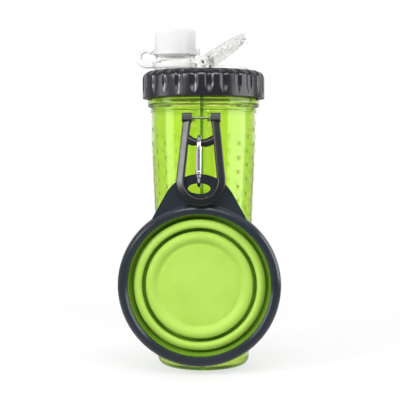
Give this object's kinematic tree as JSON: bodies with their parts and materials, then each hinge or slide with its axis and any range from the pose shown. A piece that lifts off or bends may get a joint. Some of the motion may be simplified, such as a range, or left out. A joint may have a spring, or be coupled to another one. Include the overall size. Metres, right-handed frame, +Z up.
{
  "type": "dog travel water bottle",
  "caption": "Two-chamber green travel bottle with a fluted screw collar, capped drinking spout, hinged snack door, and a folding silicone bowl hung from a carry loop by a snap hook.",
  "frame": {"origin": "middle of the bottle's flat foot, on the bottle axis", "axes": "+Z up along the bottle axis, the bowl and the hook hang on the -Y side, the spout is on the -X side and the snack door on the +X side"},
  "size_m": [0.1158, 0.1061, 0.2515],
  "materials": {
    "green_body": "clear lime green, glossy",
    "clear_lid": "clear, glossy",
    "frosted_plastic": "frosted, cloudy white",
    "collar_plastic": "charcoal, satin",
    "loop_plastic": "black, glossy",
    "rim_plastic": "dark slate, satin",
    "green_silicone": "lime green silicone, satin",
    "pale_silicone": "pale, matte",
    "chromed_steel": "bright plated",
    "steel_pin": "bright drawn"
  },
  "bodies": {
    "bottle": {"bottle_shell": "green_body", "loop_hinge_pin": "steel_pin"},
    "lid": {"lid_insert": "clear_lid", "lid_gasket": "pale_silicone", "divider_seal": "pale_silicone", "tether_neck_ring": "frosted_plastic", "tether_strap": "frosted_plastic", "hatch_hinge_pin": "steel_pin"},
    "collar": {"collar": "collar_plastic"},
    "cap_ring": {"tether_cap_ring": "frosted_plastic"},
    "cap": {"spout_cap": "frosted_plastic", "cap_liner": "pale_silicone"},
    "hatch": {"hatch_door": "clear_lid", "hatch_seal": "pale_silicone"},
    "carry_loop": {"carry_loop": "loop_plastic"},
    "carabiner": {"carabiner_body": "chromed_steel", "gate_rivet": "steel_pin", "gate_spring": "steel_pin"},
    "gate": {"carabiner_gate": "chromed_steel"},
    "cup": {"cup_rim": "rim_plastic", "rim_clamp_ring": "rim_plastic", "bowl_outer_fold": "green_silicone"},
    "bowl_middle": {"bowl_middle_band": "green_silicone", "bowl_inner_fold": "green_silicone"},
    "bowl_floor": {"bowl_floor": "green_silicone"}
  },
  "joints": [
    {"name": "lid_lift", "type": "slide", "parent": "bottle", "child": "lid", "axis": [0, 0, 1], "range_m": [0, 0.01351]},
    {"name": "collar_turn", "type": "hinge", "parent": "lid", "child": "collar", "pos_m": [0, 0, 0.2095], "axis": [0, 0, 1], "range_deg": [0, 810]},
    {"name": "cap_rise", "type": "slide", "parent": "lid", "child": "cap_ring", "axis": [0, 0, 1], "range_m": [0, 0.01701], "deforming": ["tether_strap"]},
    {"name": "cap_turn", "type": "hinge", "parent": "cap_ring", "child": "cap", "pos_m": [-0.0212, 0, 0.24], "axis": [0, 0, 1], "range_deg": [0, 1530]},
    {"name": "hatch_swing", "type": "hinge", "parent": "lid", "child": "hatch", "pos_m": [0, 0, 0.226], "axis": [0, -1, 0], "range_deg": [-34.3, 55.7]},
    {"name": "loop_swing", "type": "hinge", "parent": "bottle", "child": "carry_loop", "pos_m": [0, -0.046, 0.1837], "axis": [-1, 0, 0], "range_deg": [0, 120]},
    {"name": "carabiner_swing", "type": "hinge", "parent": "carry_loop", "child": "carabiner", "pos_m": [-0.0013, -0.04943, 0.16609], "axis": [-1, 0, 0], "range_deg": [-120, 0]},
    {"name": "gate_swing", "type": "hinge", "parent": "carabiner", "child": "gate", "pos_m": [-0.0013, -0.05693, 0.14574], "axis": [-1, 0, 0], "range_deg": [0, 25], "stiffness_Nm_per_rad": 0.03, "springref_deg": -20.05, "deforming": ["gate_spring"]},
    {"name": "cup_swing", "type": "hinge", "parent": "carabiner", "child": "cup", "pos_m": [-0.0013, -0.04943, 0.14344], "axis": [-1, 0, 0], "range_deg": [0, 75]},
    {"name": "bowl_middle_slide", "type": "slide", "parent": "cup", "child": "bowl_middle", "axis": [0, 1, 0], "range_m": [0, 0.01801], "deforming": ["bowl_outer_fold"]},
    {"name": "bowl_floor_slide", "type": "slide", "parent": "bowl_middle", "child": "bowl_floor", "axis": [0, 1, 0], "range_m": [0, 0.01801], "deforming": ["bowl_inner_fold"]}
  ],
  "couplings": [
    {"joint": "lid_lift", "follows": "collar_turn", "m_per_rad": 0.00095493},
    {"joint": "cap_rise", "follows": "cap_turn", "m_per_rad": 0.00063662},
    {"joint": "carabiner_swing", "follows": "loop_swing", "ratio": -1},
    {"joint": "cup_swing", "follows": "loop_swing", "ratio": 0.625},
    {"joint": "bowl_middle_slide", "follows": "loop_swing", "m_per_rad": 0.0085944},
    {"joint": "bowl_floor_slide", "follows": "loop_swing", "m_per_rad": 0.0085944}
  ]
}
